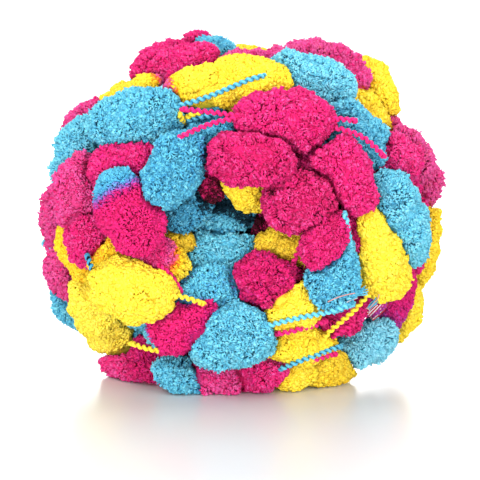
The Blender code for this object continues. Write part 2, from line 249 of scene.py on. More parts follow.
def seenPompom(row, rounds=30, approach=0.4):
    acrossView, riseView, behind = row.across * mm, row.rise * mm, row.behind * mm
    y = -winding["frontY"] / 2
    for _ in range(rounds):  # closes in on the winding, along the line of sight
        middle = sightPoint(acrossView, riseView, y)
        y = (1 - approach) * y + approach * (windingDepth(middle.x, middle.z) + behind)
    middle = sightPoint(acrossView, riseView, y)

    out = windingNormal(middle)
    turn = math.radians(row.turn)
    along = across * math.cos(turn) + rise * math.sin(turn)
    facing = max(-sight.dot(out), pressed["leastFacing"])
    lean = max(-pressed["steepestLean"], min(pressed["steepestLean"], along.dot(out) / facing))
    along = along + lean * sight
    length = row.length * mm * min(along.length, pressed["longestStretch"])
    width = row.width * mm  # at the ball's edge this is its thickness
    depth = min(max(width, pressed["thinnest"]), pressed["thickest"])
    return layPompom(row.name, middle, along, out, length,
                     width * facing + depth * (1 - facing), depth * facing + width * (1 - facing),
                     row.taper, row.tint, row.shade)


def underPompom(row):
    turn = math.radians(row.turn)
    along = Vector((math.cos(turn), math.sin(turn), 0))
    middle = Vector((row.x, row.y, row.height)) * mm
    return layPompom(row.name, middle, along, Vector((0, 0, -1)),
                     row.length * mm, row.width * mm, pressed["thickness"], 0, 0, row.shade)


def spiralPlaces():
    power = winding["roundness"]
    for index in range(spiral["places"]):
        back = 1 - 2 * (index + 0.5) / spiral["places"]
        roundBall = math.sqrt(1 - back * back)
        turn = index * goldenTurn
        heading = Vector((roundBall * math.cos(turn), back, roundBall * math.sin(turn)))
        share = math.hypot(heading.x / winding["x"], heading.z / winding["z"])
        depth = heading.y / winding["backY"] if heading.y > 0 else -heading.y / winding["frontY"]
        place = heading * (share ** power + depth ** power) ** (-1 / power)
        if place.y < spiral["front"]:
            return
        sink = spiral["inset"] + spiral["flankSink"] * max(0, place.y / spiral["front"])
        if place.y > 0:
            off = (place.x ** 2 + place.z ** 2) / spiral["navelRadius"] ** 2
            sink += spiral["navelDepth"] * math.exp(-off)
        place.z += winding["middle"]
        out = windingNormal(place)
        yield place - out * sink, out


def distanceInSizes(place, shape):  # 1 on the pompom's skin
    offset = place - shape.middle
    return math.hypot(*(offset.dot(axis) / half for axis, half in
                        zip((shape.along, shape.side, shape.out), shape.halfSizes)))


def spiralPompoms(placed):
    draw = random.Random(spiral["seed"])
    placed = list(placed)
    added = []
    for place, out in spiralPlaces():
        if any(distanceInSizes(place, other) < spiral["spacing"] for other in placed):
            continue
        roundBall = Vector((-place.z + winding["middle"], 0, place.x))
        if roundBall.length < mm:
            roundBall = across.copy()
        lean = spiral["leans"][len(added) % len(spiral["leans"])]
        lean += draw.uniform(-spiral["leanSpread"], spiral["leanSpread"])
        along = Matrix.Rotation(math.radians(lean), 3, out) @ roundBall
        size = 1 + draw.uniform(-spiral["sizeSpread"], spiral["sizeSpread"])
        name = f"{spiralColour(place, len(added))}_wound_{len(added):02d}"
        new = layPompom(name, place, along, out,
                        spiral["length"] * size, spiral["width"] * size, pressed["thickness"])
        placed.append(new)
        added.append(new)
    return added


# The colour runs round the ball in bands of two or three pompoms
bands = {"depth": 30 * mm, "perTurn": 9, "step": 1.4}
chosenColours = {
    5: "pink", 10: "pink", 16: "pink", 18: "pink", 23: "pink", 30: "yellow", 43: "pink", 44: "yellow",
    46: "pink", 48: "pink", 49: "cyan", 53: "cyan", 54: "pink", 55: "yellow", 56: "cyan", 60: "pink",
}


def spiralColour(place, index):
    if index in chosenColours:
        return chosenColours[index]
    turn = math.atan2(place.x, place.z - winding["middle"]) / math.tau
    band = round(place.y / bands["depth"])
    run = math.floor(turn * bands["perTurn"] + band * bands["step"])
    return ("cyan", "pink", "yellow")[run % 3]


def allPompoms():
    placed = [seenPompom(Seen(*row)) for row in seenPompoms]
    placed.extend(underPompom(Under(*row)) for row in underPompoms)
    return placed + spiralPompoms(placed)


pompoms = allPompoms()
print(len(pompoms), "pompoms laid out")

# The yarn inside them is a squat ball, pushed in behind the hollow. Its tufts' radius is in their
# spacings, and shade is their painted shade. Its skin's painted shade, dark where it shows between
# pompoms, has a middle and a swing to each side, in waves a metre.
core = {"radii": (80 * mm, 68 * mm, 69 * mm), "setback": 5 * mm, "hollow": 38 * mm,
        "subdivisions": 5, "spacing": 1.5 * mm, "pileHeight": 1.6 * mm, "tuftRadius": 0.8,
        "shade": 0.3, "dyeSpread": 0.02, "baseShade": (0.05, 0.03), "waves": 900}
coreShape = Pompom("core", Vector((0, core["setback"], winding["middle"])),
                   *Matrix.Identity(3), core["radii"])

# Dye: where each colour lies along the yarn, and the pompoms that change colour
dyePlace = {"cyan": 0.15, "azure": 0.21, "violet": 0.38, "pink": 0.5, "yellow": 0.85}
changing = {  # colour at its start, at its end, where, how sharply
    "cyan_pink_left": ("pink", "azure", 0.48, 0.4),
    "pink_edge_strip": ("violet", "pink", 0.3, 1.4),
    "pink_wound_46": ("violet", "violet", 0, 1),
    "pink_yellow_hollow": ("pink", "yellow", 0.2, 0.8),
    "yellow_top_left": ("yellow", "pink", 0.75, 0.9),
    "yellow_top_a": ("pink", "yellow", -0.58, 0.6),
    "pink_low_left": ("cyan", "pink", -0.8, 0.12),
}
# How much the dye varies: along a pompom, from tuft to tuft, from tuft to tuft where the colour
# changes, at most, and from pompom to pompom
dyeSpread = {"along": 0.02, "tuft": 0.035, "changing": 0.018, "most": 0.07, "pompom": 0.02}


def colourOf(thing):  # the first word of its name
    return thing.name.split("_")[0]


def dyeOf(shape, share):  # share runs from -1 to 1 along the pompom
    colour = colourOf(shape)
    start, end, middle, width = changing.get(shape.name, (colour, colour, 0, 1))
    blend = np.clip((share - middle) / width + 0.5, 0, 1)
    # the pompom's tint: partly its own dye, partly painted light
    return dyePlace[start] + (dyePlace[end] - dyePlace[start]) * blend + shape.tint


# Pile: short cut threads that gather into little clumps
pile = {
    "spacing": {"cyan": 0.84 * mm, "pink": 0.84 * mm, "yellow": 0.98 * mm},
    "coarser": 1.4,  # at the back
    "height": 3.2 * mm,
    "proud": 0.25 * mm,  # past the pompom's skin
    "radius": {"cyan": 0.84, "pink": 0.88, "yellow": 1.06},  # of a blunt end, in spacings
    "radiusSpread": 0.25,
    "tilt": {"cyan": 0.3, "pink": 0.26, "yellow": 0.11},  # of a blunt end, in its radii
    "buried": 0.94,  # in sizes of the neighbour that hides it
    "baseDepth": {"cyan": 1.25 * mm, "pink": 1.2 * mm, "yellow": 0.55 * mm},
    # Painted shade on each pompom's skin under its tufts, by colour
    "baseShade": {"cyan": 0.45, "pink": 0.52, "yellow": 0.85},
    "baseRise": 0.06,  # of that painted shade, lighter from the pompom's middle outward
    "baseDye": 0.004,  # the dye's change from its middle to its side
    "alongJitter": 0.8,  # of a tuft's place on the spiral, in steps
    "roundJitter": 0.25,  # in spacings
    "seed": 5,
}
# How long and how wide a tuft's end is, in its radii, and how far it turns from its clump's way
ends = {"cyan": (1.8, 0.5, 0.9), "pink": (1.8, 0.5, 0.45), "yellow": (1.5, 0.78, 0.8)}
swellings = {"wavelengths": (20 * mm, 15 * mm, 12 * mm, 9.5 * mm), "height": 0.55 * mm}
# Where two pompoms meet, both are pressed in and given painted shade, and the one's dye takes a share
# of the other's as painted reflected colour. Reach is in sizes of the neighbour.
creases = {"reach": 0.3, "depth": 2.3 * mm, "shade": 0.36, "dye": 0.22, "furthestDye": 0.5}
merged = (  # a share of the crease is left between these
    (0.35, ("pink_hollow_top", "pink_deep_right", "pink_hollow_right")),
    (0.3, ("yellow_top_a", "yellow_top_b", "yellow_top_low")),
    (0.7, ("pink_top_back", "pink_top_front")),
    (0.3, ("pink_strip_a", "pink_strip_b", "pink_strip_c")),
    (0.2, ("yellow_left_big", "yellow_left_low")),
    (0.4, ("cyan_pink_left", "pink_yellow_hollow")),
)
# By colour: the clumps' spacing, how far their tips gather, how far a clump swells, and the
# threads' unevenness in height and to the side
clumps = {
    "cyan": (2.7 * mm, 0.25, 0.45 * mm, 0.3 * mm, 0.38 * mm),
    "pink": (3.2 * mm, 0.22, 0.6 * mm, 0.3 * mm, 0.38 * mm),
    "yellow": (4.2 * mm, 0.15, 0.6 * mm, 0.09 * mm, 0.3 * mm),
}
# Clumps are tried a share of that spacing apart, and a share of them kept. Level is how much of
# its swelling lies under the skin.
clumpPlan = {"tried": 0.6, "kept": 0.36, "radius": 0.62, "level": 0.4}
floorGap = 0.3 * mm


def unit(rows):
    return rows / np.linalg.norm(rows, axis=1)[:, None]


def spreadPlaces(halfSizes, spacing, draw, samples=401, fewest=8):
    # Even places on a pompom's skin, as unit headings: a golden spiral from end to end
    long, wide, thick = halfSizes
    mean = (wide + thick) / 2
    steps = np.linspace(-1, 1, samples)
    slope = np.sqrt(np.clip(1 - (1 - (mean / long) ** 2) * steps ** 2, 0, None))
    area = np.concatenate([[0], np.cumsum((slope[1:] + slope[:-1]) / 2 * np.diff(steps))])
    count = max(fewest, int(area[-1] * math.tau * long * mean / spacing ** 2))
    share = (np.arange(count) + 0.5 + draw.uniform(-0.5, 0.5, count) * pile["alongJitter"]) / count
    end = np.interp(share * area[-1], area, steps)
    turn = np.arange(count) * goldenTurn + draw.uniform(0, math.tau)
    turn = turn + draw.normal(0, pile["roundJitter"] * spacing / mean, count)
    ring = np.sqrt(np.clip(1 - end ** 2, 0, None))
    return np.stack([end, ring * np.cos(turn), ring * np.sin(turn)], 1)


def axesOf(shape):
    return np.array([shape.along, shape.side, shape.out])


def ownPlaces(points, shape):  # in the pompom's own axes and half sizes
    return (points - np.array(shape.middle)) @ axesOf(shape).T / np.array(shape.halfSizes)


def sizesFrom(points, shape):  # how far each point is, 1 being on the pompom's skin
    power = pressed["fullness"]
    offset = ownPlaces(points, shape)
    narrowing = 1 - shape.taper * np.clip(offset[:, 0], -1, 1)
    aside = np.linalg.norm(offset[:, 1:], axis=1) / narrowing
    return (np.abs(offset[:, 0]) ** power + aside ** power) ** (1 / power)


def neighboursOf(shape, further=0):
    reach = max(shape.halfSizes) + further
    return [other for other in pompoms if other is not shape
            and (other.middle - shape.middle).length < reach + max(other.halfSizes)]


# Leans from the way outward and how many glances round each, in degrees. Blockers further off
# than this don't count, and steep is where the way outward is nearly upright.
glances = {"lean": (0, 40, 68), "around": (1, 5, 6), "further": 30 * mm, "blockerSize": 0.93,
           "steep": 0.8}


def openPlaces(points, outward, blockers):
    # Which points see out of the ball, looking outward and to all sides
    helper = np.where(np.abs(outward[:, 2:]) < glances["steep"], [[0, 0, 1.0]], [[1.0, 0, 0]])
    first = unit(np.cross(outward, helper))
    second = np.cross(outward, first)
    isOpen = np.zeros(len(points), bool)
    for lean, around in zip(glances["lean"], glances["around"]):
        lean = math.radians(lean)
        for step in range(around):
            turn = math.tau * step / around
            way = outward * math.cos(lean)
            way = way + (first * math.cos(turn) + second * math.sin(turn)) * math.sin(lean)
            clear = ~isOpen
            for other in blockers:
                scale = axesOf(other).T / (np.array(other.halfSizes) * glances["blockerSize"])
                start = (points - np.array(other.middle)) @ scale
                toward = way @ scale
                outside = (start ** 2).sum(1) - 1
                nearing = (start * toward).sum(1)
                hit = nearing ** 2 > (toward ** 2).sum(1) * outside
                clear &= ~((outside > 0) & (nearing < 0) & hit)
            isOpen |= clear
    return isOpen


def skinOf(headings, shape):  # a pompom's uneven skin and its way out, in its own axes
    half = np.array(shape.halfSizes)
    power = pressed["fullness"]
    aside = np.linalg.norm(headings[:, 1:], axis=1)
    places = headings * ((np.abs(headings[:, 0]) ** power + aside ** power) ** (-1 / power))[:, None]
    narrowing = (1 - shape.taper * places[:, 0])[:, None]
    skin = places * half
    skin[:, 1:] *= narrowing
    around = np.linalg.norm(places[:, 1:], axis=1)
    fullness = np.stack([np.abs(places[:, 0]), around, around], 1) ** (power - 2)
    outward = headings * fullness / half
    outward[:, 1:] /= narrowing
    outward[:, 0] += shape.taper / half[0] * aside ** 2
    outward = unit(outward)
    draw = np.random.default_rng([pile["seed"], *(int(abs(value) / mm) for value in shape.middle)])
    height, slope = np.zeros(len(skin)), np.zeros_like(skin)
    for length in swellings["wavelengths"]:
        way = draw.normal(size=3)
        way *= math.tau / length / np.linalg.norm(way)
        wave = skin @ way + draw.uniform(0, math.tau)
        height += swellings["height"] * np.sin(wave)
        slope += swellings["height"] * np.cos(wave)[:, None] * way
    skin = skin + outward * height[:, None]
    outward = outward - slope + outward * (slope * outward).sum(1)[:, None]
    return skin, unit(outward)


def creaseOf(points, shape):
    # From 0 on open skin to 1 where a neighbour begins, and how far off on the dye that one is
    near = np.full(len(points), np.inf)
    toward = np.zeros(len(points))
    for other in neighboursOf(shape):
        size = sizesFrom(points, other)
        for share, group in merged:
            if shape.name in group and other.name in group:
                size = np.maximum(size, 1) + (1 - share) * creases["reach"]
        step = dyePlace[colourOf(other)] - dyePlace[colourOf(shape)]
        toward[size < near] = step if abs(step) < creases["furthestDye"] else 0
        near = np.minimum(near, size)
    return np.clip(1 - (near - 1) / creases["reach"], 0, 1) ** 2, toward


def worldPlaces(skin, shape):
    return skin @ axesOf(shape) + np.array(shape.middle)


def tuftSkin(headings, shape, draw):
    # Root and tip of a tuft at each heading, gathered into clumps, the way in which its end lies, the
    # slope there, its way out, its crease, the dye beyond that for a painted reflection of it, and
    # its clump's shade: random, with painted shade between the clumps and painted light on their tops
    colour = colourOf(shape)
    spacing, gather, swell, unevenness, lean = clumps[colour]
    centres, _ = skinOf(spreadPlaces(shape.halfSizes, clumpPlan["tried"] * spacing, draw), shape)
    centres = centres[draw.random(len(centres)) < clumpPlan["kept"]]
    skin, outward = skinOf(headings, shape)
    apart = np.linalg.norm(skin[:, None] - centres[None], axis=2)
    nearest = apart.argmin(1)
    clumpRadius = clumpPlan["radius"] * spacing
    reach = np.clip(apart.min(1) / clumpRadius, 0, 1)
    swelling = clumpPlan["level"] - reach ** 2
    count = len(headings)
    fromCentre = skin - centres[nearest]
    slope = -2 * swell / clumpRadius ** 2 * fromCentre * (reach < 1)[:, None]
    height = pile["proud"] + swell * swelling + draw.normal(0, unevenness, count)
    tip = skin + outward * height[:, None] + draw.normal(0, lean, (count, 3))
    tip -= fromCentre * gather
    root = skin - outward * pile["height"]
    crease, toward = creaseOf(worldPlaces(skin, shape), shape)
    sunk = outward * (crease * creases["depth"])[:, None]
    combed = draw.normal(size=(len(centres), 3))[nearest]
    if colour == "pink":  # its clumps curl round
        combed = np.cross(outward, fromCentre)
    combed = unit(combed)
    combed += draw.normal(0, ends[colour][2], (count, 3))
    clumpShade = draw.normal(0, tuftShade["clumps"], len(centres))[nearest]
    # painted shade in the valleys between clumps, painted light on their tops
    clumpShade = clumpShade + tuftShade["paintedValleyShade"][colour] * swelling
    axes = axesOf(shape)
    return (worldPlaces(root - sunk, shape), worldPlaces(tip - sunk, shape), combed @ axes,
            slope @ axes, outward @ axes, crease, toward, clumpShade)


def tuftCorners(root, tip, combed, slope, radius, colour, draw):
    # Four corners for each tuft: its root and three round its blunt end
    count = len(root)
    length, width, _ = ends[colour]
    way = unit(tip - root)
    first = unit(combed - way * (combed * way).sum(1)[:, None])
    second = np.cross(way, first)
    reach = radius * (1 + draw.uniform(-1, 1, count) * pile["radiusSpread"])
    corners = np.empty((count, 4, 3))
    corners[:, 0] = root
    for corner in range(3):
        angle = corner * math.tau / 3
        spoke = first * math.cos(angle) * length + second * math.sin(angle) * width
        up = draw.normal(0, pile["tilt"][colour], count) + (spoke * slope).sum(1)
        corners[:, 1 + corner] = tip + (spoke + way * up[:, None]) * reach[:, None]
    corners[:, :, 2] = np.maximum(corners[:, :, 2], floorGap)
    return corners


# A tuft's four faces, three corners each: which corner, how far round the tuft, which level of
# painted shade
tuftFaces = np.array([(0, 0.5, 0), (2, 1, 1), (1, 0, 2),
                      (0, 0.5, 0), (3, 1, 1), (2, 0, 1),
                      (0, 0.5, 0), (1, 1, 2), (3, 0, 1),
                      (1, 0, 2), (2, 1, 1), (3, 0.5, 1)])
dyeWidth = 0.012  # of the map's dye, round one tuft
# Painted shade on the tufts, carried as v on the map; spread and clumps are random differences in
# tone
tuftShade = {
    # By colour, levels of painted shade: at the root, at the blunt end and at the end's leading
    # corner, darkest at the root
    "levels": {"cyan": (0.2, 0.72, 0.96), "pink": (0.2, 0.72, 0.96), "yellow": (0.55, 0.82, 0.97)},
    "darkest": {"cyan": 0.02, "pink": 0.02, "yellow": 0.12},
    "spread": 0.1,
    "clumps": 0.07,
    "paintedValleyShade": {"cyan": 0.24, "pink": 0.22, "yellow": 0.07},  # painted shade between the clumps, and painted light on their tops
    "range": (-0.92, 0.15),
}


class PileMesh:
    # Gathers the points and triangles of many tufts, and of the shapes under them
    def __init__(self):
        self.points, self.loops, self.maps, self.count = [], [], [], 0

    def add(self, points, loops, u, v):
        self.points.append(points)
        self.loops.append(self.count + loops)
        self.maps.append(np.stack([u, v], 1))
        self.count += len(points)

    def addTufts(self, corners, dye, shade, colour):
        corner, place, level = tuftFaces.T
        starts = corners.shape[1] * np.arange(len(corners))
        up = np.array(tuftShade["levels"][colour])[level.astype(int)]
        u = dye[:, None] + (place - 0.5) * dyeWidth
        v = np.maximum(up + shade[:, None], tuftShade["darkest"][colour])
        self.add(corners.reshape(-1, 3), (starts[:, None] + corner.astype(int)).ravel(),
                 u.ravel(), v.ravel())

    def finish(self, name, material):
        mesh = bpy.data.meshes.new(name)
        points, loops = np.concatenate(self.points), np.concatenate(self.loops)
        mesh.vertices.add(len(points))
        mesh.vertices.foreach_set("co", points.astype(np.float32).ravel())
        mesh.loops.add(len(loops))
        mesh.loops.foreach_set("vertex_index", loops.astype(np.int32))
        mesh.polygons.add(len(loops) // 3)
        mesh.polygons.foreach_set("loop_start", np.arange(0, len(loops), 3, dtype=np.int32))
        mesh.update(calc_edges=True)
        layDyeAndShade(mesh, np.concatenate(self.maps))
        return putPiece(name, mesh, material)


def layDyeAndShade(mesh, places):  # the dye and its painted shade on the map, for each corner of each face
    layer = mesh.uv_layers.new(name=dyeAndShadeMap)
    layer.uv.foreach_set("vector", places.astype(np.float32).ravel())


def putPiece(name, mesh, material):
    mesh.shade_smooth()
    mesh.materials.append(material)
    piece = putObject(name, mesh)
    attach(piece, "root")
    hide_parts(solidName)
    return piece


def unitBall(subdivisions):  # its points, and the corners of its triangles
    bm = bmesh.new()
    bmesh.ops.create_icosphere(bm, subdivisions=subdivisions, radius=1)
    bm.verts.index_update()
    points = np.array([vert.co for vert in bm.verts])
    loops = np.array([vert.index for face in bm.faces for vert in face.verts])
    bm.free()
    return points, loops


basePoints, baseLoops = unitBall(subdivisions=2)


def addBase(mesh, shape):  # the pompom itself, under its tufts
    colour = colourOf(shape)
    skin, outward = skinOf(basePoints, shape)
    crease, _ = creaseOf(worldPlaces(skin, shape), shape)
    sunk = pile["baseDepth"][colour] + crease * creases["depth"]
    places = worldPlaces(skin - outward * sunk[:, None], shape)
    places[:, 2] = np.maximum(places[:, 2], floorGap)
    offset = ownPlaces(places, shape)
    u = dyeOf(shape, offset[:, 0]) + offset[:, 1] * pile["baseDye"]
    # painted shade on the skin under the tufts, lighter outward
    v = pile["baseShade"][colour] + pile["baseRise"] * offset[:, 2]
    mesh.add(places, baseLoops, u[baseLoops], v[baseLoops])


# Painted shade in the hollow, darker towards its end. Widths are in radii of the hollow and of each
# pit.
paintedHollowShade = {"from": -46 * mm, "over": 34 * mm, "shade": 0.04, "width": 2, "pitWidth": 1.6}
# Painted shade in pits between the pompoms, in the hollow and elsewhere: across, rise and radius in
# the view, in millimetres, and shade
pits = [(-17.5, 17, 3.5, 0.5), (-13, 18, 4, 1.3), (-8.5, 17.5, 4, 1.3), (-4.5, 16, 3.6, 1.2),
        (-0.5, 13.5, 3.4, 1.2), (3.5, 10.5, 3.4, 1.1), (7, 8.5, 3.4, 0.8), (-22, 4, 3.5, 0.3),
        (32, 35.5, 3.5, 0.5), (17, 24.5, 3, 0.4), (-42.5, 49, 3, 1.3), (30, -14, 4, 0.3),
        (-36, -22.5, 4, 0.4), (44, 53.5, 3.5, 0.4), (-32.5, 56, 3.5, 0.3)]
# In sizes of a pompom: where along a line of sight its skin is looked for, how far beside the line
# it may lie, and how large it counts
search = {"from": -1.5, "to": 0.3, "steps": 46, "beside": 1.25, "skin": 1.02}


def firstHit(start, ways):  # how far along each line of sight the pile begins
    nearest = np.full(len(ways), np.inf)
    steps = np.linspace(search["from"], search["to"], search["steps"])[:, None]
    for shape in pompoms:
        size = max(shape.halfSizes)
        closest = ways @ (np.array(shape.middle) - start)
        beside = np.linalg.norm(start + ways * closest[:, None] - np.array(shape.middle), axis=1)
        near = np.where(beside < search["beside"] * size)[0]
        if not len(near):
            continue
        depths = closest[near] + steps * size
        places = start + ways[near] * depths[:, :, None]
        inside = sizesFrom(places.reshape(-1, 3), shape).reshape(depths.shape)
        inside = inside < search["skin"]
        first = np.where(inside.any(0), depths[inside.argmax(0), np.arange(len(near))], np.inf)
        nearest[near] = np.minimum(nearest[near], first)
    return nearest


def viewWays(places, axes=(across, rise, sight)):  # from the view's eye to places in its plane
    axes = np.array(axes)
    return unit(axes[2] + places @ axes[:2] / viewPoint["distance"])


pitWays = viewWays(np.array(pits)[:, :2] * mm)
pitPlaces = np.array(eye) + pitWays * firstHit(np.array(eye), pitWays)[:, None]


def hollowReach(places):  # how far out from the hollow's middle, in its radii
    return np.hypot((places[:, 0] - hollow["x"]) * hollow["widthShare"],
                    places[:, 2] - hollow["z"]) / hollow["radius"]


def paintedShadeAt(places):  # how much painted shade it gets there
    depth = np.clip((places[:, 1] - paintedHollowShade["from"]) / paintedHollowShade["over"], 0, 1)
    near = np.clip(paintedHollowShade["width"] - hollowReach(places), 0, 1)
    dark = paintedHollowShade["shade"] * depth * near
    for middle, (_, _, radius, shade) in zip(pitPlaces, pits):
        apart = np.linalg.norm(places - middle, axis=1) / (radius * mm)
        dark = dark + shade * np.clip(paintedHollowShade["pitWidth"] - apart, 0, 1)
    return dark


def addPompom(mesh, shape, draw):
    colour = colourOf(shape)
    spacing = pile["spacing"][colour] * (pile["coarser"] if "_wound_" in shape.name else 1)
    headings = spreadPlaces(shape.halfSizes, spacing, draw)
    count = len(headings)
    root, tip, combed, slope, outward, crease, toward, clumpShade = tuftSkin(headings, shape, draw)
    seen = tip[:, 2] > floorGap
    for other in neighboursOf(shape):
        seen &= sizesFrom(tip, other) > pile["buried"]
    blockers = neighboursOf(shape, glances["further"])
    if shape.middle.y > 0 or hollowDepth(shape.middle.x, shape.middle.z) < mm:
        blockers.append(coreShape)
        seen &= sizesFrom(tip, coreShape) > 1
    seen[seen] = openPlaces(tip[seen], outward[seen], blockers)
    dye = dyeOf(shape, headings[:, 0] + draw.normal(0, dyeSpread["along"], count))
    spread = draw.normal(0, dyeSpread["changing" if shape.name in changing else "tuft"], count)
    dye = dye + np.clip(spread, -dyeSpread["most"], dyeSpread["most"])
    dye = dye + draw.uniform(-dyeSpread["pompom"], dyeSpread["pompom"])
    # painted reflected colour: near a neighbour the dye shifts towards that neighbour's
    dye = dye + creases["dye"] * crease * toward
    # Painted shade and light on each tuft: random tone, painted shade between clumps and in creases,
    # the pompom's own painted shade or light, and painted shade in the hollow
    shade = draw.normal(0, tuftShade["spread"], count) + clumpShade
    shade = shade - crease * creases["shade"] - shape.shade
    if colour != "yellow":  # yellow gets none of the hollow's painted shade, as it catches the light there
        shade = shade - paintedShadeAt(tip)
    shade = np.clip(shade, *tuftShade["range"])
    corners = tuftCorners(root[seen], tip[seen], combed[seen], slope[seen],
                          pile["radius"][colour] * spacing, colour, draw)
    mesh.addTufts(corners, dye[seen], shade[seen], colour)
    addBase(mesh, shape)
    return int(seen.sum())


# Pile material: the dye along the yarn, with painted shade between the threads, at their roots and
# wherever v is low
pileLook = {
    "shader": {"Roughness": 0.9, "Sheen Weight": 0.4, "Sheen Roughness": 0.5,
               "Specular IOR Level": 0.2},
    "dye": [
        (0.03, (0.32, 0.72, 0.86)),
        (0.15, (0.14, 0.545, 0.68)),
        (0.24, (0.07, 0.39, 0.63)),
        (0.30, (0.18, 0.24, 0.62)),
        (0.36, (0.38, 0.07, 0.40)),
        (0.42, (0.62, 0.014, 0.19)),
        (0.50, (0.75, 0.016, 0.17)),
        (0.58, (0.72, 0.09, 0.33)),
        (0.64, (0.75, 0.11, 0.32)),
        (0.68, (0.93, 0.11, 0.04)),
        (0.73, (0.97, 0.50, 0.012)),
        (0.78, (0.94, 0.64, 0.025)),
        (0.86, (0.94, 0.73, 0.05)),
        (1.00, (0.95, 0.80, 0.12)),
    ],
    "dyeInPaintedShade": [  # painted shade: the dye's colour between the threads, where v is low
        (0.00, (0.04, 0.29, 0.46)),
        (0.24, (0.02, 0.18, 0.36)),
        (0.33, (0.10, 0.04, 0.22)),
        (0.45, (0.38, 0.004, 0.06)),
        (0.60, (0.44, 0.01, 0.09)),
        (0.68, (0.62, 0.09, 0.01)),
        (0.76, (0.60, 0.36, 0.012)),
        (1.00, (0.72, 0.48, 0.04)),
    ],
    # Painted shade: how far v takes the dye towards its shaded colour
    "shade": [(0.0, 0.0), (0.3, 0.2), (0.7, 0.85), (1.0, 1.0)],
    "gloom": [(0.0, 0.02), (0.08, 0.3), (0.16, 1.0)],  # painted shade, near black at the roots of what lies deepest
}


def startMaterial(name, values):
    material = bpy.data.materials.new(name)
    material.use_nodes = True
    shader = material.node_tree.nodes["Principled BSDF"]
    for socket, value in values.items():
        shader.inputs[socket].default_value = value
    return material, shader


def rampMaker(material):  # for ramps of colour along the map's X, the dye, and its Y, the painted shade
    nodes, links = material.node_tree.nodes, material.node_tree.links
    place = nodes.new("ShaderNodeUVMap")
    place.uv_map = dyeAndShadeMap
    split = nodes.new("ShaderNodeSeparateXYZ")
    links.new(place.outputs["UV"], split.inputs[0])

    def ramp(axis, stops):
        node = nodes.new("ShaderNodeValToRGB")
        elements = node.color_ramp.elements
        while len(elements) < len(stops):
            elements.new(0.5)
        for element, (position, value) in zip(elements, stops):
            element.position = position
            element.color = (*value, 1) if isinstance(value, tuple) else (value, value, value, 1)
        links.new(split.outputs[axis], node.inputs["Fac"])
        return node.outputs["Color"]
    return ramp


def pileMaterial():
    material, shader = startMaterial("pileYarn", pileLook["shader"])
    nodes, links = material.node_tree.nodes, material.node_tree.links
    ramp = rampMaker(material)
    # mix takes the dye towards its painted shade; dim darkens it further with the painted gloom
    mix, dim = nodes.new("ShaderNodeMix"), nodes.new("ShaderNodeMix")
    mix.data_type = dim.data_type = "RGBA"
    dim.blend_type = "MULTIPLY"
    dim.inputs["Factor"].default_value = 1
    for output, socket in ((ramp("Y", pileLook["shade"]), mix.inputs["Factor"]),
                           (ramp("X", pileLook["dyeInPaintedShade"]), mix.inputs["A"]),
                           (ramp("X", pileLook["dye"]), mix.inputs["B"]),
                           (mix.outputs["Result"], dim.inputs["A"]),
                           (ramp("Y", pileLook["gloom"]), dim.inputs["B"]),
                           (dim.outputs["Result"], shader.inputs["Base Color"]),
                           (dim.outputs["Result"], shader.inputs["Sheen Tint"])):
        links.new(output, socket)
    return material


yarn = pileMaterial()


threadLook = [  # along the same map: red, white, brown and grey
    (0.10, (0.62, 0.02, 0.04)),
    (0.25, (0.62, 0.02, 0.04)),
    (0.26, (0.90, 0.84, 0.84)),
    (0.52, (0.90, 0.84, 0.84)),
    (0.53, (0.52, 0.26, 0.24)),
    (0.78, (0.52, 0.26, 0.24)),
    (0.79, (0.55, 0.52, 0.53)),
]


def threadMaterial():
    material, shader = startMaterial("sewingThread", {"Roughness": 0.6})
    colour = rampMaker(material)("X", threadLook)
    material.node_tree.links.new(colour, shader.inputs["Base Color"])
    return material


def regionOf(shape):
    if "_wound_" in shape.name:
        return "back_left" if shape.middle.x < 0 else "back_right"
    if "_under_" in shape.name:
        return "under"
    return "front_top" if shape.middle.z > winding["middle"] else "front_low"


def pileAll():
    draw = np.random.default_rng(pile["seed"])
    meshes, tufts = {}, 0
    for shape in pompoms:
        name = f"pile_{colourOf(shape)}_{regionOf(shape)}"
        tufts += addPompom(meshes.setdefault(name, PileMesh()), shape, draw)
    for name, mesh in meshes.items():
        piece = mesh.finish(name, yarn)
        print(name, len(piece.data.polygons), "faces")
    print(tufts, "tufts")


pileAll()


# Core: the yarn inside, given painted shade so that it shows dark between the pompoms
def coreSkin(headings):
    skin = headings * core["radii"] + np.array(coreShape.middle)
    pushed = core["hollow"] * np.exp(-hollowReach(skin) ** 3)
    skin[:, 1] += np.where(skin[:, 1] < 0, pushed, 0)
    return skin


def nearestPompom(places):  # how far off it is, in its sizes, and its dye
    best = np.full(len(places), np.inf)
    dye = np.zeros(len(places))
    for shape in pompoms:
        size = sizesFrom(places, shape)
        dye[size < best] = dyePlace[colourOf(shape)]
        best = np.minimum(best, size)
    return best, dye


def addCoreTufts(mesh):
    draw = np.random.default_rng(pile["seed"])
    headings = spreadPlaces(core["radii"], core["spacing"], draw)
    outward = unit(headings / core["radii"])
    root = coreSkin(headings)
    tip = root + outward * core["pileHeight"]
    seen = nearestPompom(tip)[0] > 1
    seen[seen] = openPlaces(tip[seen], outward[seen], pompoms)
    root, tip = root[seen], tip[seen]
    combed = draw.normal(size=tip.shape)
    corners = tuftCorners(root, tip, combed, np.zeros_like(tip),
                          core["tuftRadius"] * core["spacing"], "pink", draw)
    # painted shade on the core's tufts
    shade = draw.normal(-core["shade"], tuftShade["spread"], len(tip))
    dye = nearestPompom(tip)[1] + draw.normal(0, core["dyeSpread"], len(tip))
    mesh.addTufts(corners, dye, shade, "pink")
    print(len(tip), "tufts on the core")


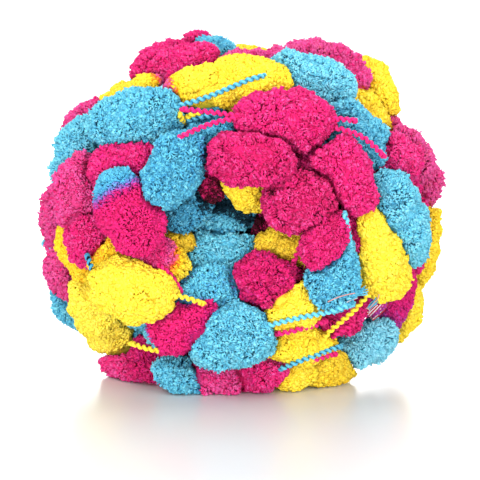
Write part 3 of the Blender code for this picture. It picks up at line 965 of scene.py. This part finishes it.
def makeCore():
    headings, loops = unitBall(core["subdivisions"])
    places = coreSkin(headings)
    middle, swing = core["baseShade"]
    u = nearestPompom(places)[1] + core["dyeSpread"] * np.sin(places[:, 0] * core["waves"])
    # painted shade on the core's skin, nearly black
    v = middle + swing * np.sin(places[:, 2] * core["waves"])
    mesh = PileMesh()
    mesh.add(places, loops, u[loops], v[loops])
    addCoreTufts(mesh)
    mesh.finish("core_yarn", yarn)


makeCore()
print("core made")


# Cords: bare lengths of cord from pompom to pompom, each one ply that winds round its line
twist = {
    "ply": 0.88 * mm,  # radius
    "orbit": 0.66 * mm,  # of the ply's middle round the cord's
    "pitch": 3.1 * mm,
    "step": 0.4 * mm,
    "detail": 1,  # of the bevel round the ply
    "over": 0.9 * mm,  # of the cord's middle over the pile
    "sag": 0.3,  # share of a valley's depth that a cord follows
    "dive": 6 * mm,  # of its ends, towards the pile, which not all of them reach
    "diveLength": 4 * mm,
    "diveShare": 0.16,  # of a short cord's length, at each end
    "reach": 7 * mm,  # how far back from its foremost point it goes
    "shade": (0.25, 0.68, 1.5),  # painted shade, darkest in the twist's grooves: innermost, how much more outermost, and its power
    "dyeWave": (0.012, 0.9),  # its height, and its turn from step to step
}
# Each cord has the colour of its name's first word. Azimuth turns the view round the ball, lift
# raises the cord over others, and its points are across and rise in that view, all in degrees and
# millimetres. Dim is painted shade for a cord that lies deep in shade.
Span = namedtuple("Span", "name lift points azimuth dim", defaults=(0, 0))
cordSpans = [
    ("cyan_cord_top", 1, [(-33, 66.5), (-20, 70), (-7.5, 75), (5, 80.5), (13.5, 82.5)], 0, 0.2),
    ("pink_cord_top", 0.6, [(-29, 65.5), (-15, 64), (0, 62)]),
    ("pink_cord_arm", 0.4, [(-31, 51), (-22.5, 55), (-12.5, 59), (-1, 61)]),
    ("cyan_cord_behind", -0.5, [(-28, 59.5), (-20, 61.5), (-11, 62.5)], 0, 0.3),
    ("yellow_cord_short", 0.4, [(-30.5, 64), (-29.5, 61), (-28, 58.5)]),
    ("yellow_cord_loop", 0.2, [(-27, 61), (-24, 63), (-19, 63.5)]),
    ("pink_cord_slope_a", 0.3, [(45, 60.5), (51, 60.5), (58, 59.5)]),
    ("pink_cord_slope_b", 0.3, [(46.5, 56.5), (57.5, 53.5), (63, 50.5), (69, 45), (72, 41.5)]),
    ("cyan_cord_drop", 0.3, [(52, 14), (53.3, 10), (54, 5), (54.8, 1), (55, -3)]),
    ("cyan_cord_long", 0.4, [(12, -43.3), (28.5, -39), (40, -37), (46, -35.5), (57, -32)]),
    ("yellow_cord_long", 2.2, [(41, -50), (46, -44.5), (50.5, -41), (58, -34.5), (61.5, -30),
                               (66, -26)]),
    ("pink_cord_low_a", 0.6, [(17, -47), (25, -46), (31.5, -44), (37, -43), (43, -40.5)]),
    ("pink_cord_low_b", 0.2, [(46, -48.5), (51.5, -45), (57, -42)]),
    ("cyan_cord_low", 0.4, [(19, -65), (31, -60), (37.5, -58), (43.5, -55.5), (51, -53)], 0, 0.25),
    ("pink_cord_low_c", 0.2, [(35.5, -60.5), (45, -57.5), (48, -57)]),
    ("yellow_cord_left", 0.2, [(-36.5, -28.5), (-30, -28), (-25, -29.5), (-18, -32)]),
    ("yellow_cord_low_left", -0.2, [(-54.5, -51.5), (-48, -54), (-40.5, -55.5)]),
    ("pink_cord_low_left", 0.2, [(-39.5, -57), (-30, -59.5), (-23, -60.5)]),
    ("pink_cord_hollow", 0.2, [(26.5, -12), (28.5, -7), (30, -3)]),
    ("pink_cord_left", 0.2, [(-41, -12), (-34, -18), (-29.5, -26)]),
    ("cyan_cord_left", -0.6, [(-76.5, -7.5), (-75, -12), (-73, -17)], 0, 0.5),
    ("yellow_cord_flank", 0.4, [(-22, 26), (-4, 31), (20, 27)], 115),
    ("pink_cord_flank", 0.4, [(-22, -24), (0, -19), (24, -22)], 125),
    ("cyan_cord_back", 0.4, [(-30, 34), (-10, 28), (12, 30), (30, 38)], 165),
    ("yellow_cord_back", 0.4, [(-28, -8), (-6, -14), (20, -10)], 195),
    ("pink_cord_back_left", 0.4, [(-26, 12), (-4, 6), (22, 10)], 250),
    ("cyan_cord_flank_left", 0.4, [(-30, -24), (-6, -19), (18, -24)], 250),
]


def taut(along, depth):  # the line of a stretched cord over the hills
    hull = []
    for point in zip(along, depth):
        while len(hull) > 1:
            (x1, y1), (x2, y2) = hull[-2:]
            if (x2 - x1) * (point[1] - y1) - (y2 - y1) * (point[0] - x1) > 0:
                break
            hull.pop()
        hull.append(point)
    return np.interp(along, [x for x, _ in hull], [y for _, y in hull])


def lengthsAlong(points):  # from the first point to each
    return np.concatenate([[0], np.cumsum(np.linalg.norm(np.diff(points, axis=0), axis=1))])


def evenly(points, step, rounds=4, near=0.75, far=0.25, fewest=4):
    # Places a step apart on a smooth line through the points
    points = np.array(points, float)
    for _ in range(rounds):  # corners cut off, ends kept
        cut = np.stack([near * points[:-1] + far * points[1:],
                        far * points[:-1] + near * points[1:]], 1).reshape(-1, points.shape[1])
        points = np.concatenate([points[:1], cut, points[-1:]])
    lengths = lengthsAlong(points)
    wanted = np.linspace(0, lengths[-1], max(fewest, round(lengths[-1] / step) + 1))
    return np.stack([np.interp(wanted, lengths, column) for column in points.T], 1)


def cordRoute(span, laid=twist):
    turned = Matrix.Rotation(math.radians(span.azimuth), 3, "Z")
    start = np.array(Vector(viewPoint["target"]) - viewPoint["distance"] * (turned @ sight))
    places = evenly(span.points, 1) * mm
    ways = viewWays(places, (turned @ across, turned @ rise, turned @ sight))
    depth = firstHit(start, ways)
    missed = ~np.isfinite(depth)
    depth[missed] = np.interp(np.where(missed)[0], np.where(~missed)[0], depth[~missed])
    depth = np.minimum(depth, depth.min() + laid["reach"])  # it bridges what lies deeper
    along = lengthsAlong(places)
    stretched = taut(along, depth)
    depth = stretched + (depth - stretched) * twist["sag"] - laid["over"] - span.lift * mm
    toEnd = np.minimum(along, along[-1] - along)
    diveLength = min(twist["diveLength"], twist["diveShare"] * along[-1])
    depth += laid["dive"] * np.clip(1 - toEnd / diveLength, 0, 1) ** 2
    route = evenly(start + ways * depth[:, None], laid["step"])
    route[:, 2] = np.maximum(route[:, 2], twist["ply"] + twist["orbit"] + floorGap)
    return route


def tubeMesh(name, line, radius, detail):
    curve = bpy.data.curves.new(name, "CURVE")
    curve.dimensions = "3D"
    curve.bevel_depth = radius
    curve.bevel_resolution = detail
    curve.use_fill_caps = True
    spline = curve.splines.new("POLY")
    spline.points.add(len(line) - 1)
    spline.points.foreach_set("co", np.column_stack([line, np.ones(len(line))]).ravel())
    holder = bpy.data.objects.new(name, curve)
    mesh = bpy.data.meshes.new_from_object(holder)
    mesh.name = name
    bpy.data.objects.remove(holder)
    bpy.data.curves.remove(curve)
    return mesh


def woundRound(route, orbit, pitch, start=(0.3, 0.2, 1)):  # a line that winds round the route
    tangent = unit(np.gradient(route, axis=0))
    side = np.cross(tangent[0], start)
    sides = []
    for way in tangent:
        side = side - way * side.dot(way)
        side = side / np.linalg.norm(side)
        sides.append(side)
    sides = np.array(sides)
    turn = (math.tau * lengthsAlong(route) / pitch)[:, None]
    return route + orbit * (sides * np.cos(turn) + np.cross(tangent, sides) * np.sin(turn))


def makeCord(span):
    route = cordRoute(span)
    mesh = tubeMesh(span.name, woundRound(route, twist["orbit"], twist["pitch"]),
                    twist["ply"], twist["detail"])
    places = np.empty(len(mesh.vertices) * 3)
    mesh.vertices.foreach_get("co", places)
    apart = np.linalg.norm(places.reshape(-1, 1, 3) - route, axis=2)
    out = np.clip(apart.min(1) / (twist["orbit"] + twist["ply"]), 0, 1)
    # Painted shade: darker in the grooves of the twist, and darker still on a dim cord
    inmost, more, power = twist["shade"]
    shade = inmost + more * out ** power - span.dim
    height, turn = twist["dyeWave"]
    dye = dyePlace[colourOf(span)] + height * np.sin(apart.argmin(1) * turn)
    loops = np.empty(len(mesh.loops), int)
    mesh.loops.foreach_get("vertex_index", loops)
    layDyeAndShade(mesh, np.stack([dye[loops], shade[loops]], 1))
    putPiece(span.name, mesh, yarn)
    return len(mesh.polygons)


print(sum(makeCord(Span(*row)) for row in cordSpans), "faces of cord")


# Splice: two frayed ends, and the sewing threads that hold them
splice = {
    "thread": 0.27 * mm,  # radius
    "fibre": 0.22 * mm,
    "over": 0.7 * mm,
    "dive": 0,
    "step": 0.9 * mm,
    "reach": 3 * mm,
    "fibreDye": (0.17, 0.03),  # its middle and spread
    "fibreShade": (0.3, 0.75),
    "threadShade": 0.9,
    "shadeStep": 0.05,  # along a face
    "seed": 3,
}
threadDye = {"red": 0.1, "white": 0.4, "brown": 0.65, "grey": 0.9}
# Middle, length, width, turn and number of fibres, in the view and in millimetres
frayedEnds = [(60, -26, 8, 4.5, 12, 20), (66.7, -32.3, 6.5, 3.5, 40, 16)]
looseThreads = [  # colour, lift and points
    ("brown", 0.3, [(57.5, -26.6), (52, -27.6), (47, -29.4), (43.9, -31)]),
    ("grey", 0.2, [(58.8, -29), (56, -29.8), (53.3, -31.2)]),
    ("brown", 0.9, [(69.5, -27.2), (69.3, -29), (67.5, -31), (64.9, -33.8)]),
    ("grey", 0.8, [(62.3, -34), (64, -34.2), (65.4, -35.2), (64.8, -36.5), (63.6, -36)]),
]
bundle = {"count": 9, "from": ((63.6, -37), (66.4, -40.2)), "to": ((68, -32.6), (74.4, -31.8)),
          "bend": 0.9, "straight": 0.3, "lift": 0.5, "fan": 0.8}
# Where a fibre starts and ends, in shares of the frayed end's length and width, and its lift
fray = {"start": (0.3, 0.5), "startAside": 0.3, "end": (0.1, 0.55), "endAside": 0.6,
        "bend": 0.3, "lift": (-0.2, 1.1)}


def threadLine(points, lift):
    return cordRoute(Span("thread", lift, points), splice)


def frayedLines(draw):
    for x, y, length, width, turn, count in frayedEnds:
        along = np.array([math.cos(math.radians(turn)), math.sin(math.radians(turn))])
        aside = np.array([-along[1], along[0]])

        def spot(ahead, beside):
            return np.array([x, y]) + along * length * ahead + aside * width * beside

        def upTo(most):
            return draw.uniform(-most, most)

        for _ in range(count):
            start = spot(-draw.uniform(*fray["start"]), upTo(fray["startAside"]))
            end = spot(draw.uniform(*fray["end"]), upTo(fray["endAside"]))
            middle = (start + end) / 2 + aside * width * upTo(fray["bend"])
            yield threadLine([start, middle, end], draw.uniform(*fray["lift"]))


def bundleLines():
    for share in np.linspace(0, 1, bundle["count"]):
        start, end = ((1 - share) * np.array(pair[0]) + share * np.array(pair[1])
                      for pair in (bundle["from"], bundle["to"]))
        bend = np.array([1, -1]) * bundle["bend"] * (share - bundle["straight"])
        yield threadLine([start, (start + end) / 2 + bend, end],
                         bundle["lift"] + bundle["fan"] * share)


def makeThreads(name, lines, radius, material, u, v):
    # One mesh of fine tubes, each with its own place u and shade v on the map of dye and painted
    # shade
    mesh = bpy.data.meshes.new(name)
    bm = bmesh.new()
    layer = bm.loops.layers.uv.new(dyeAndShadeMap)
    for line, place, shade in zip(lines, u, v):
        tube = tubeMesh(name, line, radius, 0)
        known = len(bm.faces)
        bm.from_mesh(tube)
        bpy.data.meshes.remove(tube)
        bm.faces.ensure_lookup_table()
        for face in bm.faces[known:]:
            for index, loop in enumerate(face.loops):
                loop[layer].uv = (place + (index % 2 - 0.5) * dyeWidth,
                                  shade + splice["shadeStep"] * (index // 2))
    bm.to_mesh(mesh)
    bm.free()
    putPiece(name, mesh, material)
    return len(mesh.polygons)


def makeSplice():
    draw = np.random.default_rng(splice["seed"])
    fibres = list(frayedLines(draw))
    middle, spread = splice["fibreDye"]
    dyes = middle + draw.normal(0, spread, len(fibres))
    shades = draw.uniform(*splice["fibreShade"], len(fibres))
    count = makeThreads("splice_fibres", fibres, splice["fibre"], yarn, dyes, shades)
    lines = [threadLine(points, lift) for _, lift, points in looseThreads] + list(bundleLines())
    dyes = [threadDye[colour] for colour, _, _ in looseThreads]
    dyes += [threadDye["white" if index % 2 else "red"] for index in range(bundle["count"])]
    return count + makeThreads("splice_threads", lines, splice["thread"], threadMaterial(),
                               dyes, np.full(len(lines), splice["threadShade"]))


print(makeSplice(), "faces of splice")


# Stage: a pale glossy floor and soft light
studio = {
    "floor": {"Base Color": (0.74, 0.74, 0.74, 1), "Roughness": 0.3},
    "floorSize": 10,
    "world": 0.62,
    "lamps": [  # name, place, width, height, power
        ("key", (-0.6, -1.3, 1.1), 0.8, 0.8, 15),
        ("fill", (0.9, -1.3, 0.5), 1.0, 0.9, 13.5),
        ("front", (0, -1.6, 0.14), 1.4, 0.24, 8),
        ("low", (-0.5, -1.35, 0.1), 0.8, 0.22, 8),
        ("top", (0, 0.2, 1.6), 1.2, 1.2, 11),
        ("backdrop", (0, 4.5, 2.6), 4.0, 4.0, 260),
    ],
}


def makeStage():
    bm = bmesh.new()
    bmesh.ops.create_grid(bm, x_segments=4, y_segments=4, size=studio["floorSize"])
    mesh = bpy.data.meshes.new("floor")
    bm.to_mesh(mesh)
    bm.free()
    mesh.materials.append(startMaterial("floorWhite", studio["floor"])[0])
    floor = putObject("floor", mesh)


def makeLight():
    world = bpy.data.worlds.new("studio")
    world.use_nodes = True
    background = world.node_tree.nodes["Background"]
    background.inputs["Color"].default_value = (1, 1, 1, 1)
    background.inputs["Strength"].default_value = studio["world"]
    bpy.context.scene.world = world
    for name, place, width, height, power in studio["lamps"]:
        lamp = bpy.data.lights.new(name, "AREA")
        lamp.shape = "RECTANGLE"
        lamp.size = width
        lamp.size_y = height
        lamp.energy = power
        aim(putObject(name, lamp), place, Vector((0, 0, winding["middle"])) - Vector(place))


makeStage()
makeLight()
print("stage lit")
